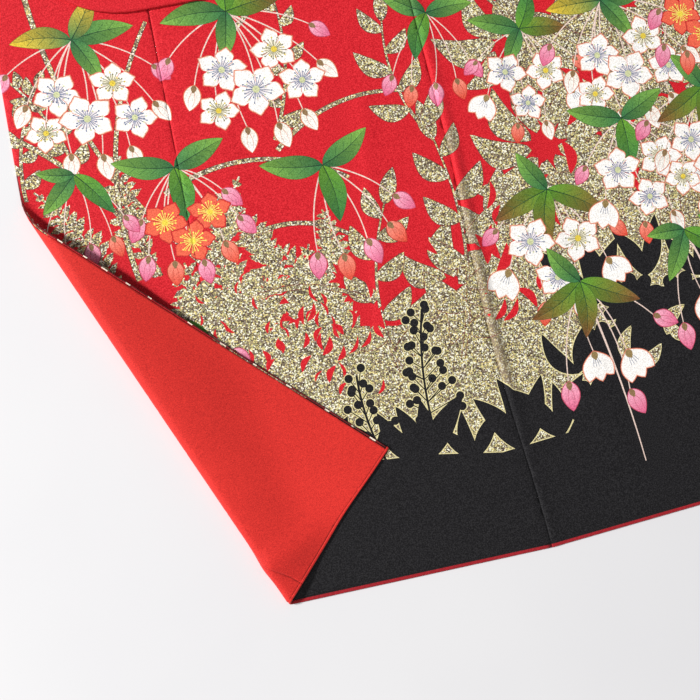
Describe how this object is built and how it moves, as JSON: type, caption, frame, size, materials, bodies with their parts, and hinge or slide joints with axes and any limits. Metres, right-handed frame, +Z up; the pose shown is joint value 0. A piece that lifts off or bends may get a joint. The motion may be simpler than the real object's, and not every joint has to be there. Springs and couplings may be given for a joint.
{
  "type": "furisode",
  "caption": "Long-sleeved formal kimono laid flat with its back up, the fronts spread at the hem and one front corner folded over to show the lining.",
  "frame": {"origin": "on the floor, under the middle of the box round the whole garment", "axes": "+Z up from the floor, +Y from the hem towards the collar, -X towards the wearer's left side"},
  "size_m": [1.4344, 1.6874, 0.0185],
  "materials": {
    "silk": "dyed crepe silk, red above and black at the hem, with printed and gold-flecked foliage",
    "lining": "plain red-orange lining silk with a soft low sheen"
  },
  "bodies": {
    "root": {"back_left": "silk", "back_right": "silk", "front_left": "silk", "front_right": "silk", "overlap_left": "silk", "overlap_right": "silk", "lining_front_left": "lining", "lining_overlap_left": "lining", "hem_roll_front_left": "lining", "hem_roll_overlap_left": "lining", "hem_roll_front_right": "lining", "hem_roll_overlap_right": "lining", "hem_roll_back_left": "lining", "hem_roll_back_right": "lining", "sleeve_left": "silk", "sleeve_right": "silk", "collar": "silk", "over_collar": "silk"}
  },
  "joints": []
}
